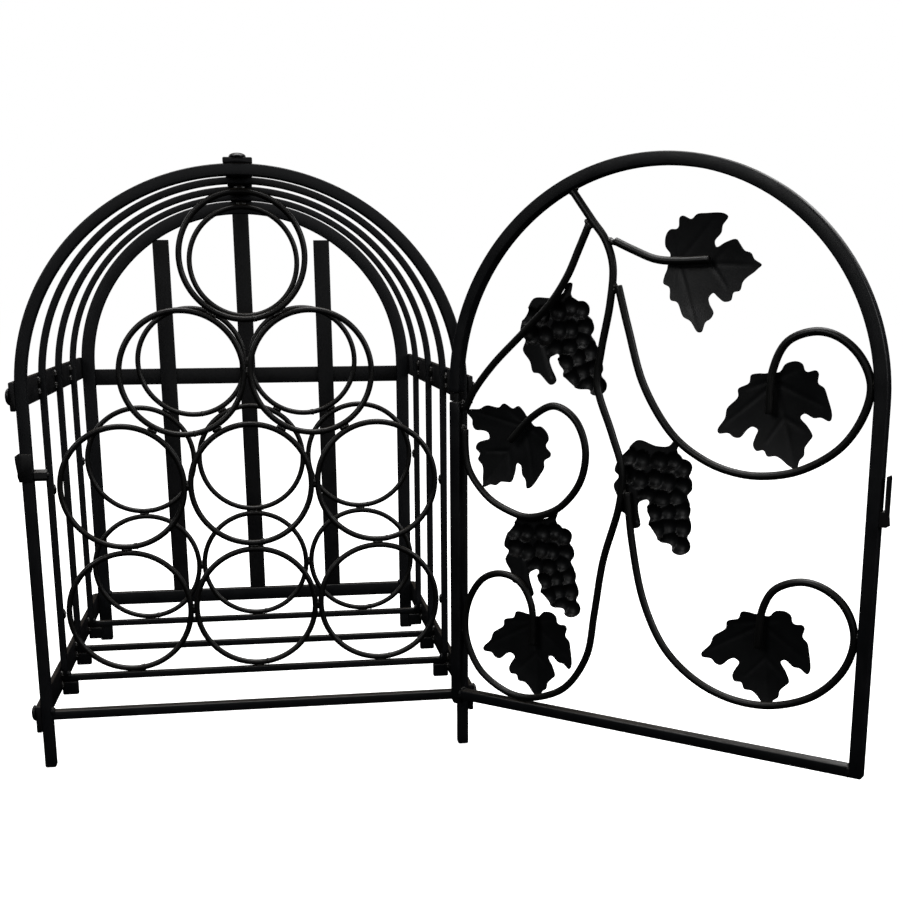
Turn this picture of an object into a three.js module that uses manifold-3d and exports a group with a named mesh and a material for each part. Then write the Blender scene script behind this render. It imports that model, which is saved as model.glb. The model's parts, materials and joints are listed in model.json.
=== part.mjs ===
// Arched wrought-steel wine rack: five hoops, flat stringers, two panels of bottle rings
// and a vine door that turns on two pivots. Millimetres, +Z up, the front faces -Y.

import * as THREE from 'three';
import { mergeVertices } from 'three/addons/utils/BufferGeometryUtils.js';
import Module from 'manifold-3d';

const wasm = await Module();
wasm.setup();

// Rack, overall
const rackWidth = 340;
const springHeight = 293;
const bayDepths = [112, 94, 96, 90];
const gap = 0.3;

// Hoops: the front one is square bar, the three inner ones are thin, the rear one is flat bar
const frontHoop = { bar: 8.6, depth: 8.6, railLow: 39.4, railHigh: 46.5, foot: 0 };
const innerHoop = { bar: 5.6, depth: 5.6, railLow: 37.7, railHigh: 43.5, foot: 25.6 };
const rearHoop = { bar: 12.6, depth: 8, railLow: 38.6, railHigh: 52, foot: 0 };
const footBlockWidth = 13.6;
const footRounding = 2.5;
const archSteps = 40;

// Bottle rings
const wire = 5;
const ringsAcross = 3;
const ringPlay = { side: 2.4, stagger: 1.6, top: 2.9 };

// Flat stringers outside the hoops
const stringer = { width: 21.5, thick: 3.8, belowSpring: 1.5, aboveRailFoot: 0.9 };

// Bolts of the front hoop
const bolt = { shank: 4, head: 12.6, headHeight: 3, reach: 6.4, clearance: 0.3, belowRailTop: 1.5 };

// Back grille
const slat = { width: 16.4, thick: 3, crowding: 0.8, inset: 1 };
const band = { height: 16.4, belowSpring: 3 };

// Door
const doorBar = 9;
const doorSill = 8;
const doorOpenAngle = 137.25;
const hingeInset = 10;
const doorShy = { side: 0.9, top: 1.2, face: 5.5, sill: 4.6, spring: 1.2 };
const hingeBelowSpring = 6;
const lug = { thick: 6, eye: 4.2, reach: 8, slit: 0.35, lowerThick: 3.5 };
const pin = { diameter: 3.2, clearance: 0.3, engagement: 8 };

// Vine
const rod = 5.5;
const leafThick = 1.4;
const leafScale = [0.98, 1.03];
const grapeScale = [1.06, 1.04];
const grapeThick = 4;

// Catch and clip
const sheet = 1.2;
const catchPlate = { belowStringer: 31.75, height: 21, reach: 12, nose: 4 };
const catchBolt = { abovePlateFoot: 4.5, shank: 4, nut: 9, nutLength: 10, head: 8, headHeight: 1.5 };
const clip = { abovePlateTop: 1, height: 33, base: 10, slot: 2.8, leaf: 1.2, flare: 0.8 };

// The clear opening and the rod that the vine's points are drawn for
const vineDesign = { left: 7.55, right: 317.05, sill: 55.05, spring: 294.2, crown: 445.2, rod: 5.5 };

const halfWidth = rackWidth / 2;
const hoopY = bayDepths.reduce((list, bay) => [...list, list.at(-1) + bay], [0]);
const rackDepth = hoopY[4] + rearHoop.depth;

// Ring sizes follow the clear width inside the inner hoops
const clearHalf = halfWidth - innerHoop.bar;
const ringOuter = (2 * (clearHalf - ringPlay.side) - (ringsAcross - 1) * gap) / (2 * ringsAcross);
const ringPitch = 2 * ringOuter + gap;
const rowStep = Math.sqrt((2 * ringOuter + ringPlay.stagger) ** 2 - (ringPitch / 2) ** 2);
const rowHeights = [innerHoop.railHigh + gap + ringOuter];
rowHeights.push(rowHeights[0] + ringPitch);
rowHeights.push(rowHeights[1] + rowStep);
rowHeights.push(rowHeights[2] + rowStep);

// The arch closes over the top ring
const archRise = rowHeights[3] + ringOuter + ringPlay.top + innerHoop.bar - springHeight;
const archTop = springHeight + archRise;

// The door closes over the front hoop, a little inside its outline
const hingeX = halfWidth - hingeInset;
const hingeSetback = doorBar / 2 + doorShy.face;
const doorWidth = hingeX + doorBar / 2 + halfWidth - doorShy.side;
const doorSpring = springHeight + doorShy.spring;
const doorTop = archTop - doorShy.top;
const sillLow = frontHoop.railLow + doorShy.sill;
const doorRail = { low: sillLow, high: sillLow + doorSill };
const upperHinge = springHeight - hingeBelowSpring;

const steel = { front: 0x17171a, inner: 0x1b1b1d, flat: 0x19191b, ring: 0x1e1d1e, vine: 0x1a1a1c,
  leaf: 0x202024, grape: 0x28282b, fixing: 0x222226 };

const rack = new THREE.Group();
const parts = new THREE.Group();
rack.add(parts);

function addPart(name, geometry, colour, parent = parts, roughness = 0.55, metalness = 0.55) {
  const material = new THREE.MeshStandardMaterial({ color: colour, roughness, metalness });
  const mesh = new THREE.Mesh(geometry, material);
  mesh.name = name;
  parent.add(mesh);
  return mesh;
}

// Boolean operations

function toManifold(geometry) {
  const bare = new THREE.BufferGeometry();
  bare.setAttribute('position', geometry.getAttribute('position').clone());
  if (geometry.index) bare.setIndex(geometry.index.clone());
  const welded = mergeVertices(bare, 1e-4);
  const vertProperties = new Float32Array(welded.getAttribute('position').array);
  const triVerts = new Uint32Array(welded.index.array);
  const mesh = new wasm.Mesh({ numProp: 3, vertProperties, triVerts });
  return new wasm.Manifold(mesh);
}

function toGeometry(solid) {
  const mesh = solid.getMesh();
  const geometry = new THREE.BufferGeometry();
  geometry.setAttribute('position', new THREE.BufferAttribute(mesh.vertProperties, 3));
  geometry.setIndex(new THREE.BufferAttribute(mesh.triVerts, 1));
  geometry.computeVertexNormals();
  return geometry;
}

function join(...geometries) {
  return toGeometry(geometries.map(toManifold).reduce((sum, one) => sum.add(one)));
}

function cut(geometry, ...tools) {
  const whole = toManifold(geometry);
  return toGeometry(tools.map(toManifold).reduce((rest, one) => rest.subtract(one), whole));
}

// Shape helpers

// A flat shape drawn in X and Z, given thickness along Y from the face at y
function plate(shape, y, thickness) {
  const geometry = new THREE.ExtrudeGeometry(shape, { depth: thickness, bevelEnabled: false });
  geometry.rotateX(Math.PI / 2);
  geometry.translate(0, y + thickness, 0);
  return geometry;
}

function block(x0, x1, y0, y1, z0, z1) {
  const geometry = new THREE.BoxGeometry(x1 - x0, y1 - y0, z1 - z0);
  geometry.translate((x0 + x1) / 2, (y0 + y1) / 2, (z0 + z1) / 2);
  return geometry;
}

function outline(points) {
  return new THREE.Shape(points.map(([x, y]) => new THREE.Vector2(x, y)));
}

// Points along an elliptical arc, angles in quarter turns from +X towards +Z
function arcPoints(cx, cz, rx, rz, from, to, steps) {
  return Array.from({ length: steps + 1 }, (_, i) => {
    const angle = Math.PI / 2 * (from + (to - from) * i / steps);
    return [cx + rx * Math.cos(angle), cz + rz * Math.sin(angle)];
  });
}

function mirrored(points) {
  return points.map(([x, z]) => [-x, z]).reverse();
}

// A round bar from one point along an axis
function spindle(diameter, length, axis, x, y, z, segments = 20) {
  const geometry = new THREE.CylinderGeometry(diameter / 2, diameter / 2, length, segments);
  geometry.translate(0, length / 2, 0);
  if (axis === 'z') geometry.rotateX(Math.PI / 2);
  if (axis === 'x') geometry.rotateZ(-Math.PI / 2);
  geometry.translate(x, y, z);
  return geometry;
}

// Domed head with its shank, turned about the axis; the head's flat underside is at 0
function domedBolt(shank, head, height, length) {
  const profile = [new THREE.Vector2(0, -length), new THREE.Vector2(shank / 2, -length)];
  profile.push(new THREE.Vector2(shank / 2, 0), new THREE.Vector2(head / 2, 0));
  const steps = 4;
  for (let i = 0; i <= steps; i += 1) {
    const angle = Math.PI / 2 * i / steps;
    const radius = i === steps ? 0 : head / 2 * Math.cos(angle);
    profile.push(new THREE.Vector2(radius, height * (0.25 + 0.75 * Math.sin(angle))));
  }
  return new THREE.LatheGeometry(profile, 20);
}

// Turns a bolt made along +Y so that its head points out of a stringer
function aimBolt(geometry, side, x, y, z) {
  if (side === 'top') geometry.rotateX(Math.PI / 2);
  if (side === 'right') geometry.rotateZ(-Math.PI / 2);
  if (side === 'left') geometry.rotateZ(Math.PI / 2);
  geometry.translate(x, y, z);
  return geometry;
}

// Hoops

// Legs, arch and welded rail in one outline; the window is the space above the rail
function hoopShape(spec, footWidth = spec.bar) {
  const inner = halfWidth - spec.bar;
  const toe = halfWidth - footWidth;
  const soft = spec.foot === 0 ? footRounding : 0.6;
  const sole = spec.foot + soft;
  const rightFoot = [
    ...arcPoints(halfWidth - soft, sole, soft, soft, 0, -1, 3),
    ...arcPoints(toe + soft, sole, soft, soft, -1, -2, 3),
    [toe, spec.railLow],
  ];
  const arch = arcPoints(0, springHeight, halfWidth, archRise, 2, 0, archSteps);
  const shape = outline([...arch, ...rightFoot, ...mirrored(rightFoot)]);
  const light = arcPoints(0, springHeight, inner, archRise - spec.bar, 0, 2, archSteps);
  shape.holes.push(outline([[-inner, spec.railHigh], [inner, spec.railHigh], ...light]));
  return shape;
}

const middleHeight = springHeight - stringer.belowSpring;
const lowHeight = frontHoop.railLow + stringer.aboveRailFoot;
const lowBolt = frontHoop.railHigh - bolt.belowRailTop;
const fixings = [
  { name: 'top', side: 'top', height: archTop },
  { name: 'left_middle', side: 'left', height: middleHeight },
  { name: 'right_middle', side: 'right', height: middleHeight },
  { name: 'left_lower', side: 'left', height: lowHeight, boltHeight: lowBolt },
  { name: 'right_lower', side: 'right', height: lowHeight, boltHeight: lowBolt },
];

// The catch hangs below the left stringer
const catchHigh = middleHeight - stringer.width / 2 - catchPlate.belowStringer;
const catchLow = catchHigh - catchPlate.height;
const catchBoltHeight = catchLow + catchBolt.abovePlateFoot;
const clipHigh = catchHigh + clip.abovePlateTop;
const clipLow = clipHigh - clip.height;

const boltY = frontHoop.depth / 2;
const boltHole = bolt.shank + 2 * bolt.clearance;
const holeDepth = bolt.reach + bolt.clearance;

// The tapped hole that one bolt goes into
function boltBore({ side, height, boltHeight = height }) {
  if (side === 'top') return spindle(boltHole, holeDepth + 2, 'z', 0, boltY, archTop - holeDepth);
  const sign = side === 'right' ? 1 : -1;
  const start = sign > 0 ? halfWidth - holeDepth : -halfWidth - 2;
  return spindle(boltHole, holeDepth + 2, 'x', start, boltY, boltHeight);
}

const catchBore = spindle(catchBolt.shank + 2 * gap, frontHoop.bar + 4, 'x', -halfWidth - 2, boltY,
  catchBoltHeight);
const frontBlank = plate(hoopShape(frontHoop), 0, frontHoop.depth);
addPart('front_hoop', cut(frontBlank, ...fixings.map(boltBore), catchBore), steel.front);

for (const [index, name] of ['second_hoop', 'third_hoop', 'fourth_hoop'].entries()) {
  const shape = hoopShape(innerHoop, footBlockWidth);
  addPart(name, plate(shape, hoopY[index + 1], innerHoop.depth), steel.inner);
}

addPart('rear_hoop', plate(hoopShape(rearHoop), hoopY[4], rearHoop.depth), steel.front);

// Bottle rings

const ringPlaces = [
  ['row1_left', -ringPitch, 0], ['row1_middle', 0, 0], ['row1_right', ringPitch, 0],
  ['row2_left', -ringPitch, 1], ['row2_middle', 0, 1], ['row2_right', ringPitch, 1],
  ['row3_left', -ringPitch / 2, 2], ['row3_right', ringPitch / 2, 2],
  ['row4_top', 0, 3],
];

for (const [panel, hoop] of [['front', 1], ['rear', 3]]) {
  for (const [place, x, row] of ringPlaces) {
    const ring = new THREE.TorusGeometry(ringOuter - wire / 2, wire / 2, 6, 28);
    ring.rotateX(Math.PI / 2);
    ring.translate(x, hoopY[hoop] + innerHoop.depth / 2, rowHeights[row]);
    addPart(`${panel}_ring_${place}`, ring, steel.ring);
  }
}

// Stringers and bolts

// A flat bar lying in X and Y with its front hole and a riveted rear head, then turned outwards
function stringerStrip(side, height, boltHeight = height) {
  const half = stringer.width / 2;
  const offset = boltHeight - height;
  const shape = outline([[-half, 0], [half, 0], [half, rackDepth], [-half, rackDepth]]);
  const hole = new THREE.Path();
  hole.absarc(offset, boltY, boltHole / 2, 0, 2 * Math.PI, false);
  shape.holes.push(hole);
  const flat = new THREE.ExtrudeGeometry(shape, {
    depth: stringer.thick, bevelEnabled: false, curveSegments: 10,
  });
  const rivet = domedBolt(bolt.shank, bolt.head, bolt.headHeight, 1);
  rivet.rotateX(Math.PI / 2);
  rivet.translate(offset, hoopY[4] + rearHoop.depth / 2, stringer.thick);
  const strip = join(flat, rivet);
  strip.translate(0, 0, gap);
  if (side === 'top') strip.translate(0, 0, archTop);
  if (side === 'right') {
    strip.rotateY(Math.PI / 2);
    strip.scale(1, 1, -1);
    strip.index.array.reverse();
    strip.translate(halfWidth, 0, height);
  }
  if (side === 'left') {
    strip.rotateY(-Math.PI / 2);
    strip.translate(-halfWidth, 0, height);
  }
  return strip;
}

for (const { name, side, height, boltHeight } of fixings) {
  addPart(`${name}_stringer`, stringerStrip(side, height, boltHeight), steel.flat);
  const reach = stringer.thick + 2 * gap + bolt.reach;
  const seat = 2 * gap + stringer.thick;
  const turned = domedBolt(bolt.shank, bolt.head, bolt.headHeight, reach);
  const sign = side === 'right' ? 1 : -1;
  const besides = [sign * (halfWidth + seat), boltHeight ?? height];
  const [x, z] = side === 'top' ? [0, archTop + seat] : besides;
  addPart(`${name}_bolt`, aimBolt(turned, side, x, boltY, z), steel.fixing, parts, 0.45, 0.7);
}

// Back grille

const rearInner = halfWidth - rearHoop.bar;
const rearRise = archRise - rearHoop.bar;
const slatY = hoopY[4] + slat.inset;
const slatPitch = (2 * rearInner + slat.width) / 4 - slat.crowding;

for (const [name, x] of [['left', -slatPitch], ['middle', 0], ['right', slatPitch]]) {
  const edge = Math.abs(x) + slat.width / 2;
  const top = springHeight + rearRise * Math.sqrt(1 - (edge / rearInner) ** 2) - 2 * gap;
  const bar = block(x - slat.width / 2, x + slat.width / 2, slatY, slatY + slat.thick,
    rearHoop.railHigh + gap, top);
  addPart(`back_slat_${name}`, bar, steel.flat);
}

const bandY = slatY + slat.thick + gap;
const bandTop = springHeight - band.belowSpring;
addPart('back_band', block(-rearInner + gap, rearInner - gap, bandY, bandY + slat.thick,
  bandTop - band.height, bandTop), steel.flat);

// Door
// The door is drawn with its pivot axis on Z, +X towards the free edge, +Y to its outer face.

const door = new THREE.Group();
door.position.set(hingeX, -hingeSetback, 0);
door.rotation.z = THREE.MathUtils.degToRad(180 + doorOpenAngle);
parts.add(door);

const doorLeft = -doorBar / 2;
const doorRight = doorLeft + doorWidth;
const doorMiddle = (doorLeft + doorRight) / 2;
const doorRise = doorTop - doorSpring;
const doorInnerHalf = doorWidth / 2 - doorBar;

function doorShape() {
  const lower = [
    [doorRight - 1, doorRail.low], [doorLeft + 1, doorRail.low], [doorLeft, doorRail.low + 1],
  ];
  const arch = arcPoints(doorMiddle, doorSpring, doorWidth / 2, doorRise, 2, 0, archSteps);
  const shape = outline([...arch, [doorRight, doorRail.low + 1], ...lower]);
  const light = arcPoints(doorMiddle, doorSpring, doorInnerHalf, doorRise - doorBar, 0, 2, archSteps);
  const sill = [[doorLeft + doorBar, doorRail.high], [doorRight - doorBar, doorRail.high]];
  shape.holes.push(outline([...sill, ...light]));
  return shape;
}

// The hinge upright is parted for the upper lug and bored for both pins
const boreSize = pin.diameter + 2 * pin.clearance;
const boreDepth = pin.engagement + pin.clearance;
const lugGap = lug.thick + 2 * lug.slit;
const upperBoreBase = upperHinge - lugGap / 2 - boreDepth;
const upperBore = spindle(boreSize, lugGap + 2 * boreDepth, 'z', 0, 0, upperBoreBase);
const lowerBore = spindle(boreSize, boreDepth + 2, 'z', 0, 0, doorRail.low - 2);
const parting = block(-doorBar, doorBar, -doorBar, doorBar,
  upperHinge - lugGap / 2, upperHinge + lugGap / 2);
const doorBlank = plate(doorShape(), -doorBar / 2, doorBar);
addPart('door_frame', cut(doorBlank, upperBore, lowerBore, parting), steel.front, door);

// Hinge lugs on the front hoop, with an eye round each pin
function hingeLug(z, thick) {
  const shape = new THREE.Shape();
  shape.absarc(hingeX, -hingeSetback, lug.eye, Math.PI, 1.75 * Math.PI, false);
  shape.lineTo(hingeX + lug.reach, -gap);
  shape.lineTo(hingeX - lug.eye, -gap);
  shape.lineTo(hingeX - lug.eye, -hingeSetback);
  const eye = new THREE.Path();
  eye.absarc(hingeX, -hingeSetback, pin.diameter / 2 + pin.clearance, 0, 2 * Math.PI, true);
  shape.holes.push(eye);
  const geometry = new THREE.ExtrudeGeometry(shape, {
    depth: thick, bevelEnabled: false, curveSegments: 10,
  });
  geometry.translate(0, 0, z);
  return geometry;
}

function hingePin(z0, z1) {
  return spindle(pin.diameter, z1 - z0, 'z', hingeX, -hingeSetback, z0, 16);
}

const lowerLugTop = doorRail.low - lug.slit;
const lowerLugBase = lowerLugTop - lug.lowerThick;
addPart('hinge_lug_upper', hingeLug(upperHinge - lug.thick / 2, lug.thick), steel.fixing);
addPart('hinge_lug_lower', hingeLug(lowerLugBase, lug.lowerThick), steel.fixing);
const pinReach = lugGap / 2 + pin.engagement;
const upperPin = hingePin(upperHinge - pinReach, upperHinge + pinReach);
const lowerPin = hingePin(lowerLugBase, doorRail.low + pin.engagement);
addPart('hinge_pin_upper', upperPin, steel.fixing, parts, 0.4, 0.8);
addPart('hinge_pin_lower', lowerPin, steel.fixing, parts, 0.4, 0.8);

// Vine rods

const leftLine = doorBar / 2 + gap + rod / 2;
const rightLine = doorRight - doorBar - gap - rod / 2;
const railLine = doorRail.high + gap + rod / 2;

// Points drawn for the design opening are spread to the door's own opening: evenly across,
// evenly from the sill to the spring line and evenly from there to the crown
const spread = {
  across: (rightLine - leftLine) / (vineDesign.right - vineDesign.left),
  low: (doorSpring - railLine) / (vineDesign.spring - vineDesign.sill),
  high: (doorTop - doorBar - gap - rod / 2 - doorSpring) / (vineDesign.crown - vineDesign.spring),
};

function fitToDoor([x, z]) {
  const above = z - vineDesign.spring;
  return [
    leftLine + (x - vineDesign.left) * spread.across,
    doorSpring + above * (above > 0 ? spread.high : spread.low),
  ];
}

// Centre lines in the door's X and Z. The stem and scrolls lie against the bars.
const rodPaths = {
  vine_stem: [[100.9, 432.3], [115, 414.3], [125.6, 401], [131.8, 383.7], [130.5, 358.3], [124, 324],
    [121.5, 300.5], [134.3, 265.5], [142.8, 240.3], [141.4, 215], [129.2, 172], [122.8, 131],
    [116.9, 97], [99, 69.6], [76.8, 57.9], [60, vineDesign.sill], [43.2, 57.9], [20.5, 71.8],
    [vineDesign.left + 0.5, 98], [10, 124.5], [23.5, 145.8], [40.4, 152.2], [57.2, 147.7],
    [68, 131], [69.8, 99]],
  vine_branch_top_right: [[134.9, 398.9], [146.7, 393.8], [164.6, 387], [182, 385.5], [203.3, 386]],
  vine_branch_top_left: [[111.4, 409.3], [105, 395.7], [96, 377], [83, 358.8], [58.8, 336],
    [32.7, 312.2], [15.6, 292], [vineDesign.left + 0.8, 278.5]],
  vine_scroll_upper_right: [[137.2, 367.5], [145, 340.5], [158.6, 300.5], [181.8, 267.5], [204.8, 252],
    [226, 245], [248.1, 243.6], [274.3, 249.4], [299.8, 265.8], [313.4, 287.3],
    [vineDesign.right - 0.7, 307], [308.4, 325], [293.3, 337], [278.2, 339.8], [260.6, 333],
    [251.8, 315], [250.5, 286]],
  vine_scroll_lower_left: [[vineDesign.left, 262], [vineDesign.left + 0.2, 248.5], [10, 234],
    [17, 222.5], [30.7, 209.8], [47, 202.4], [62, 199], [78, 201.8], [93.9, 210.2],
    [109, 229.3], [113, 252], [106.3, 271.3],
    [95.5, 281], [84.1, 283.6], [67.2, 274.6], [48.5, 256]],
  vine_scroll_lower_right: [[148, 222], [152, 190.3], [163.2, 144.7], [181.2, 112.2], [206, 92.6],
    [233.7, 83.4], [263.4, 84], [293, 96.5], [311.9, 118.5],
    [vineDesign.right - 0.2, 141], [309.8, 160], [295.2, 171.2], [279, 174], [260.8, 166.5],
    [252.8, 151.2], [251, 124]],
};

function smoothLine(points) {
  const corners = points.map(([x, z]) => new THREE.Vector3(x, 0, z));
  return new THREE.CatmullRomCurve3(corners, false, 'centripetal');
}

function rodAlong(points) {
  const path = smoothLine(points);
  const section = new THREE.Shape();
  section.absarc(0, 0, rod / 2, 0, 2 * Math.PI, false);
  const steps = Math.max(8, Math.round(path.getLength() / 9));
  return new THREE.ExtrudeGeometry(section, {
    steps, extrudePath: path, bevelEnabled: false, curveSegments: 4,
  });
}

// The nearest of many points along a line to one point
function nearestOn(line, [x, z]) {
  const away = (p) => Math.hypot(p.x - x, p.z - z);
  return line.getPoints(600).reduce((best, p) => (away(p) < away(best) ? p : best));
}

// A weld keeps its distance when the door or the rod changes size: the first point of a branch
// stays as far from the line it is welded to as it is drawn, and the rod's growth is added
function weldStart(points, drawnLine, fittedLine, growth) {
  const drawn = points[0];
  const root = nearestOn(drawnLine, drawn);
  const distance = Math.hypot(drawn[0] - root.x, drawn[1] - root.z) + growth;
  const start = fitToDoor(drawn);
  const seat = nearestOn(fittedLine, start);
  const along = Math.hypot(start[0] - seat.x, start[1] - seat.z);
  const fitted = points.map(fitToDoor);
  const stretch = distance / along;
  fitted[0] = [seat.x + (start[0] - seat.x) * stretch, seat.z + (start[1] - seat.z) * stretch];
  return fitted;
}

const designHalf = (vineDesign.right - vineDesign.left) / 2 + vineDesign.rod / 2 + gap;
const designMiddle = (vineDesign.left + vineDesign.right) / 2;
const designRise = vineDesign.crown + vineDesign.rod / 2 + gap - vineDesign.spring;
const drawnCrown = arcPoints(designMiddle, vineDesign.spring, designHalf, designRise, 0, 2, 60);
const doorCrown = arcPoints(doorMiddle, doorSpring, doorInnerHalf, doorRise - doorBar, 0, 2, 60);
const drawnArch = smoothLine(drawnCrown);
const doorArch = smoothLine(doorCrown);
const stemPoints = weldStart(rodPaths.vine_stem, drawnArch, doorArch, 0);
const drawnStem = smoothLine(rodPaths.vine_stem);
const stem = smoothLine(stemPoints);
const onStem = ['vine_branch_top_right', 'vine_branch_top_left', 'vine_scroll_upper_right',
  'vine_scroll_lower_right'];

for (const [name, points] of Object.entries(rodPaths)) {
  let fitted = name === 'vine_stem' ? stemPoints : points.map(fitToDoor);
  if (onStem.includes(name)) fitted = weldStart(points, drawnStem, stem, rod - vineDesign.rod);
  addPart(name, rodAlong(fitted), steel.vine, door);
}

// Leaves
// Half widths to the right and distances from the stem notch towards the tip.

const leafOutline = [
  [2.5, 0], [10.5, -3.6], [18.3, -3.4], [22.4, 3.7], [30.4, 5.9], [29.2, 13.7], [33, 19], [33.4, 36],
  [31, 39], [21, 34.6], [14, 30.3], [11.2, 32], [16.8, 45.5], [9.6, 51.7], [6.5, 57.5], [0.5, 64],
  [-4.5, 59.5], [-11.2, 52.4], [-17.5, 50], [-22, 46], [-24, 41.5], [-18.6, 32.7], [-22.7, 29.9],
  [-32.8, 34.4], [-39.3, 30], [-46, 28], [-45.5, 25], [-36.4, 14], [-27.1, 8.4], [-25, 3.5],
  [-17.3, 1.6], [-14.6, -2.9], [-2.4, 0],
];

// Stem notch, turn of the tip from straight down, in the door's X and Z
const leaves = {
  leaf_top_right: { x: 172.5, z: 385, turn: 87 },
  leaf_middle_right: { x: 249.6, z: 311.8, turn: 17 },
  leaf_middle_left: { x: 62, z: 270.8, turn: -38 },
  leaf_lower_left: { x: 66.3, z: 120.5, turn: 5 },
  leaf_lower_right: { x: 250.6, z: 145.5, turn: 7 },
};

const ornamentFace = rod / 2 + gap;

// Points drawn downwards from an origin hang from it on the door, turned about it
function hang(points, [wide, long], { x, z, turn }) {
  const angle = THREE.MathUtils.degToRad(turn);
  return points.map(([right, down]) => fitToDoor([
    x + right * wide * Math.cos(angle) + down * long * Math.sin(angle),
    z + right * wide * Math.sin(angle) - down * long * Math.cos(angle),
  ]));
}

for (const [name, place] of Object.entries(leaves)) {
  const blank = plate(outline(hang(leafOutline, leafScale, place)), ornamentFace, leafThick);
  addPart(name, blank, steel.leaf, door, 0.5, 0.5);
}

// Grape clusters
// Distances right of and below the stem tab, with the small leaf hanging on the left.

const grapeOutline = [
  [-2, 0], [2, 0], [1, 8], [4, 12.3], [9.5, 13.7], [11.8, 18.5], [14.4, 29], [12.6, 37], [15.4, 45],
  [18.4, 57], [17, 65], [19.8, 72], [15.4, 78.1], [9.6, 78.2], [5, 74.2], [-2, 72.4], [-8.4, 68.7],
  [-12, 63], [-15.6, 53], [-15.4, 48.4], [-18, 47], [-22.3, 50], [-21.2, 56], [-18.3, 65.3],
  [-22.7, 67.8],
  [-31, 59.5], [-35.8, 57], [-37.5, 49.7], [-42, 41], [-39.4, 34.4], [-43, 30.8], [-40.3, 20.4],
  [-35, 12.8], [-29, 6.5], [-10, 8],
];

const grapes = {
  grapes_upper: { x: 95.8, z: 371.8, turn: 7.5 },
  grapes_middle: { x: 184.6, z: 265, turn: -7.5 },
  grapes_lower: { x: 86.8, z: 206, turn: 0.3 },
};

for (const [name, place] of Object.entries(grapes)) {
  const blank = plate(outline(hang(grapeOutline, grapeScale, place)), ornamentFace, grapeThick);
  addPart(name, blank, steel.grape, door, 0.5, 0.5);
}

// Catch on the left leg, and the clip on the door that slides over it

const cheekFace = -halfWidth - gap;
const wrapFront = -gap - sheet;
const cheekShape = outline([
  [frontHoop.depth, catchLow], [frontHoop.depth, catchHigh],
  [-catchPlate.reach, catchHigh],
  [-catchPlate.reach, catchHigh - catchPlate.nose], [wrapFront, catchLow],
]);
const cheek = new THREE.ExtrudeGeometry(cheekShape, { depth: sheet, bevelEnabled: false });
cheek.rotateX(Math.PI / 2);
cheek.rotateZ(Math.PI / 2);
cheek.translate(cheekFace - sheet, 0, 0);
const wrap = block(cheekFace - sheet, -halfWidth + frontHoop.bar, wrapFront, -gap,
  catchLow, catchHigh);
const cheekHole = spindle(catchBolt.shank + 2 * gap, 4, 'x', cheekFace - sheet - 1, boltY,
  catchBoltHeight);
addPart('catch_plate', cut(join(cheek, wrap), cheekHole), steel.fixing, parts, 0.5, 0.6);

const catchSeat = cheekFace - sheet - gap;
const catchReach = 2 * gap + sheet + frontHoop.bar + gap;
const catchHead = domedBolt(catchBolt.shank, catchBolt.head, catchBolt.headHeight, catchReach + 1);
aimBolt(catchHead, 'left', catchSeat, boltY, catchBoltHeight);
const nutSeat = -halfWidth + frontHoop.bar + gap;
const catchNut = spindle(catchBolt.nut, catchBolt.nutLength, 'x', nutSeat, boltY, catchBoltHeight, 6);
addPart('catch_bolt', join(catchHead, catchNut), steel.fixing, parts, 0.4, 0.7);

const clipBack = doorRight + gap;
const leafIn = doorRight + clip.slot;
const leafOut = leafIn + clip.leaf;
const clipShape = outline([
  [clipBack, clipLow], [leafOut + clip.flare, clipLow], [leafOut, clipLow + clip.base - 3],
  [leafOut, clipHigh - 2], [leafOut - 0.4, clipHigh], [leafIn, clipHigh],
  [leafIn, clipLow + clip.base], [clipBack, clipLow + clip.base],
]);
addPart('door_clip', plate(clipShape, -doorBar / 2, doorBar), steel.fixing, door, 0.5, 0.6);

// The origin is the middle of the footprint, on the floor
rack.updateMatrixWorld(true);
const bounds = new THREE.Box3().setFromObject(rack);
const centre = bounds.getCenter(new THREE.Vector3());
parts.position.set(-centre.x, -centre.y, -bounds.min.z);

export default rack;
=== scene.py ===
import json
import math

import bpy
import numpy as np
from mathutils import Matrix, Vector
from mathutils.geometry import delaunay_2d_cdt


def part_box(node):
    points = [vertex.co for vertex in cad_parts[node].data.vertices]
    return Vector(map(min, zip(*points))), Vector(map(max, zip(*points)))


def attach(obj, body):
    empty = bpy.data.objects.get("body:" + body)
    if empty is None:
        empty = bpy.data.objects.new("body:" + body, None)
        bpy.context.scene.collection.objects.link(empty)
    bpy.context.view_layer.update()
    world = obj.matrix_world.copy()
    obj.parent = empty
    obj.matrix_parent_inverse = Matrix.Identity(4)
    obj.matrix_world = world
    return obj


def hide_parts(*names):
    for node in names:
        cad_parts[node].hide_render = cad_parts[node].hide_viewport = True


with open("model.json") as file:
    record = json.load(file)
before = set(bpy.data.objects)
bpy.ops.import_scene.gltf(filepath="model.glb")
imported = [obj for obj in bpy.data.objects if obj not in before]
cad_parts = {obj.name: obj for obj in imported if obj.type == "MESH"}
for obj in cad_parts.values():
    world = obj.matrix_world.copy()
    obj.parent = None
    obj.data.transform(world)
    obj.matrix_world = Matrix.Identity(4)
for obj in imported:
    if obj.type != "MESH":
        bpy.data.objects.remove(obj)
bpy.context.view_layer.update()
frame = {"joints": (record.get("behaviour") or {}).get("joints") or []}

mm = 0.001
rackLow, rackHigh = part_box("front_hoop")
rackOrigin = np.array([(rackLow.x + rackHigh.x) / 2, rackLow.y, 0.0])
pinLow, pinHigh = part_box("hinge_pin_upper")
hingeAxis = np.array([(pinLow.x + pinHigh.x) / 2, (pinLow.y + pinHigh.y) / 2, 0.0])
# how far the open door's free edge is turned from +X
doorTurn = -math.pi - math.radians(frame["joints"][0]["range_deg"][0])
random = np.random.default_rng(11)


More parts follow.
